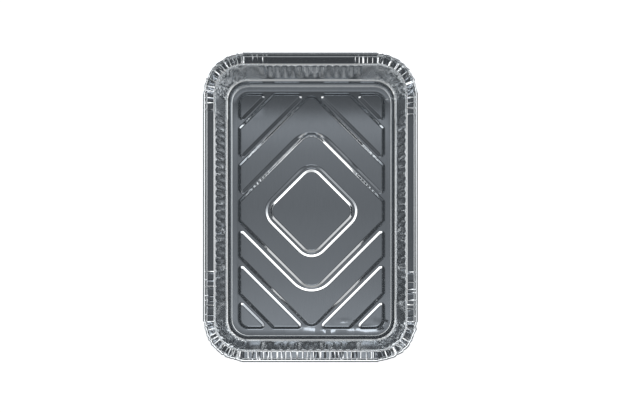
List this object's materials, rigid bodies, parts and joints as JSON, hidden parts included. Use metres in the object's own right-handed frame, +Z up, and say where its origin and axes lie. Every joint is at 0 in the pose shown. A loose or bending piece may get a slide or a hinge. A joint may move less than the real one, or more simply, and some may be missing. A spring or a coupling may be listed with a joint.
{
  "type": "foil tray",
  "caption": "Shallow oblong food tray pressed from thin aluminium foil, with fluted walls, pleated corners, a lid ledge, a curled edge and a ribbed base.",
  "frame": {"origin": "centre of the underside, on the plane that the tray rests on", "axes": "+X along the length, +Y across the width, +Z up out of the open top"},
  "size_m": [0.31, 0.215, 0.042],
  "materials": {
    "foil": "bright rolled aluminium foil, satin on the base and glossy on the bends"
  },
  "bodies": {
    "root": {"foil_tray": "foil"}
  },
  "joints": []
}
